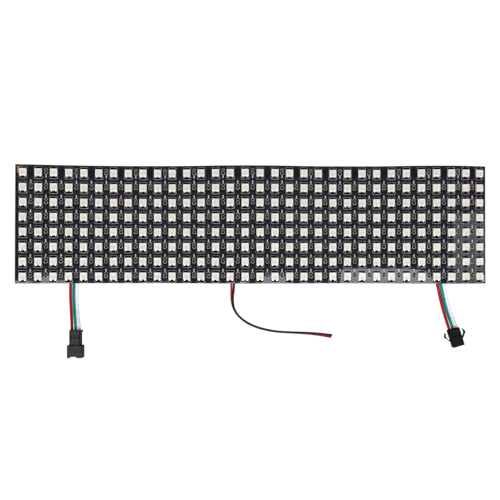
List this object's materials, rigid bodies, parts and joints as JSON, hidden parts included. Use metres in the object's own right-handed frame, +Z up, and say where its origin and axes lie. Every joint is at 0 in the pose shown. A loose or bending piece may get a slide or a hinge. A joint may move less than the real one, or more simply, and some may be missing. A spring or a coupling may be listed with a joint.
{
  "type": "flexible rgb led matrix panel",
  "caption": "Thin flexible black circuit sheet with a rectangular grid of square pale LEDs, lying in gentle waves, with short soldered leads that end in connectors or bare.",
  "frame": {"origin": "on the table under the middle of the circuit sheet", "axes": "+X along the LED rows, towards the latch-arm connector's end; +Y across the rows, away from the leads; +Z up from the table, the side that the LEDs face"},
  "size_m": [0.3181, 0.1302, 0.011],
  "materials": {
    "black_coverlay": "glossy black covering film over copper tracks",
    "led_package": "pale moulded package with a clear window",
    "capacitor_ceramic": "tan ceramic with tinned ends",
    "solder": "shiny solder",
    "red_insulation": "soft PVC",
    "green_insulation": "soft PVC",
    "white_insulation": "soft PVC",
    "black_insulation": "soft PVC",
    "grey_nylon": "dark grey moulded nylon",
    "black_nylon": "black moulded nylon",
    "tinned_contact": "tinned brass"
  },
  "bodies": {
    "root": {"flex_circuit": "black_coverlay", "led_row_1": "led_package", "capacitor_row_1": "capacitor_ceramic", "led_row_2": "led_package", "capacitor_row_2": "capacitor_ceramic", "led_row_3": "led_package", "capacitor_row_3": "capacitor_ceramic", "led_row_4": "led_package", "capacitor_row_4": "capacitor_ceramic", "led_row_5": "led_package", "capacitor_row_5": "capacitor_ceramic", "led_row_6": "led_package", "capacitor_row_6": "capacitor_ceramic", "led_row_7": "led_package", "capacitor_row_7": "capacitor_ceramic", "led_row_8": "led_package", "capacitor_row_8": "capacitor_ceramic", "hooded_lead_solder": "solder", "latch_lead_solder": "solder", "power_lead_solder": "solder", "hooded_lead_red_core": "red_insulation", "hooded_lead_green_core": "green_insulation", "hooded_lead_white_core": "white_insulation", "latch_lead_red_core": "red_insulation", "latch_lead_green_core": "green_insulation", "latch_lead_white_core": "white_insulation", "power_lead_red_core": "red_insulation", "power_lead_black_core": "black_insulation", "hooded_connector_housing": "grey_nylon", "latch_connector_housing": "black_nylon", "hooded_connector_pins": "tinned_contact", "latch_connector_sockets": "tinned_contact"}
  },
  "joints": []
}
